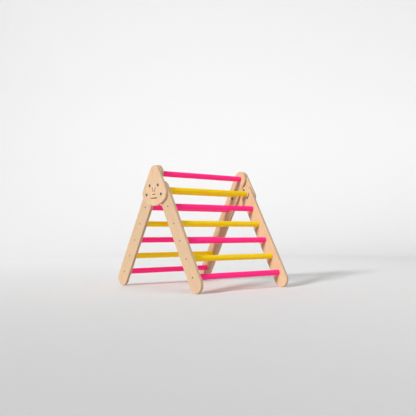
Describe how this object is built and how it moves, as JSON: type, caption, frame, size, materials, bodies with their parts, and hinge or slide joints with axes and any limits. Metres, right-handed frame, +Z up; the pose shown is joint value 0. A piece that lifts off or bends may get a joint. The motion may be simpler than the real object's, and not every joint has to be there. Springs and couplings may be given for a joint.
{
  "type": "folding climbing triangle",
  "caption": "Wooden toddler climbing frame: two ladders with pink and yellow rungs form an A and fold about the front ladder's top rung between rounded head plates.",
  "frame": {"origin": "on the floor, at the middle of the footprint of the open triangle", "axes": "+X along the rungs towards the right end, +Y towards the feet of the rear ladder, +Z up"},
  "size_m": [0.7522, 0.8566, 0.7554],
  "materials": {
    "birch": "sanded pale birch under clear matt oil",
    "pink_paint": "beech dowel in satin pink water-based paint",
    "yellow_paint": "beech dowel in satin yellow water-based paint",
    "dark_steel": "dark blue-green plated steel",
    "zinc": "dull zinc plate"
  },
  "bodies": {
    "rear_ladder": {"rear_stile_left": "birch", "head_plate_left": "birch", "rear_stile_right": "birch", "head_plate_right": "birch", "rear_rung_1": "pink_paint", "rear_rung_2": "yellow_paint", "rear_rung_2_screw_left": "zinc", "rear_rung_2_screw_right": "zinc", "rear_rung_3": "pink_paint", "rear_rung_3_screw_left": "zinc", "rear_rung_3_screw_right": "zinc", "rear_rung_4": "yellow_paint", "rear_rung_4_screw_left": "zinc", "rear_rung_4_screw_right": "zinc", "rear_rung_5": "pink_paint", "rear_rung_5_screw_left": "zinc", "rear_rung_5_screw_right": "zinc", "rear_rung_6": "yellow_paint", "rear_rung_6_screw_left": "zinc", "rear_rung_6_screw_right": "zinc", "rear_rung_7": "pink_paint", "rear_rung_7_screw_left": "zinc", "rear_rung_7_screw_right": "zinc", "bolt_rear_upper_left": "dark_steel", "cap_nut_rear_upper_left": "dark_steel", "bolt_rear_lower_left": "dark_steel", "cap_nut_rear_lower_left": "dark_steel", "bolt_front_upper_left": "dark_steel", "cap_nut_front_upper_left": "dark_steel", "bolt_front_lower_left": "dark_steel", "cap_nut_front_lower_left": "dark_steel", "bolt_rear_upper_right": "dark_steel", "cap_nut_rear_upper_right": "dark_steel", "bolt_rear_lower_right": "dark_steel", "cap_nut_rear_lower_right": "dark_steel", "bolt_front_upper_right": "dark_steel", "cap_nut_front_upper_right": "dark_steel", "bolt_front_lower_right": "dark_steel", "cap_nut_front_lower_right": "dark_steel"},
    "front_ladder": {"front_stile_left": "birch", "front_stile_right": "birch", "front_rung_2": "yellow_paint", "front_rung_2_screw_left": "zinc", "front_rung_2_screw_right": "zinc", "front_rung_3": "pink_paint", "front_rung_3_screw_left": "zinc", "front_rung_3_screw_right": "zinc", "front_rung_4": "yellow_paint", "front_rung_4_screw_left": "zinc", "front_rung_4_screw_right": "zinc", "front_rung_5": "pink_paint", "front_rung_5_screw_left": "zinc", "front_rung_5_screw_right": "zinc", "front_rung_6": "yellow_paint", "front_rung_6_screw_left": "zinc", "front_rung_6_screw_right": "zinc", "front_rung_7": "pink_paint", "front_rung_7_screw_left": "zinc", "front_rung_7_screw_right": "zinc"}
  },
  "joints": [
    {"name": "front_ladder_fold", "type": "hinge", "parent": "rear_ladder", "child": "front_ladder", "pos_m": [0, -0.059, 0.60246], "axis": [1, 0, 0], "range_deg": [0, 60]}
  ]
}
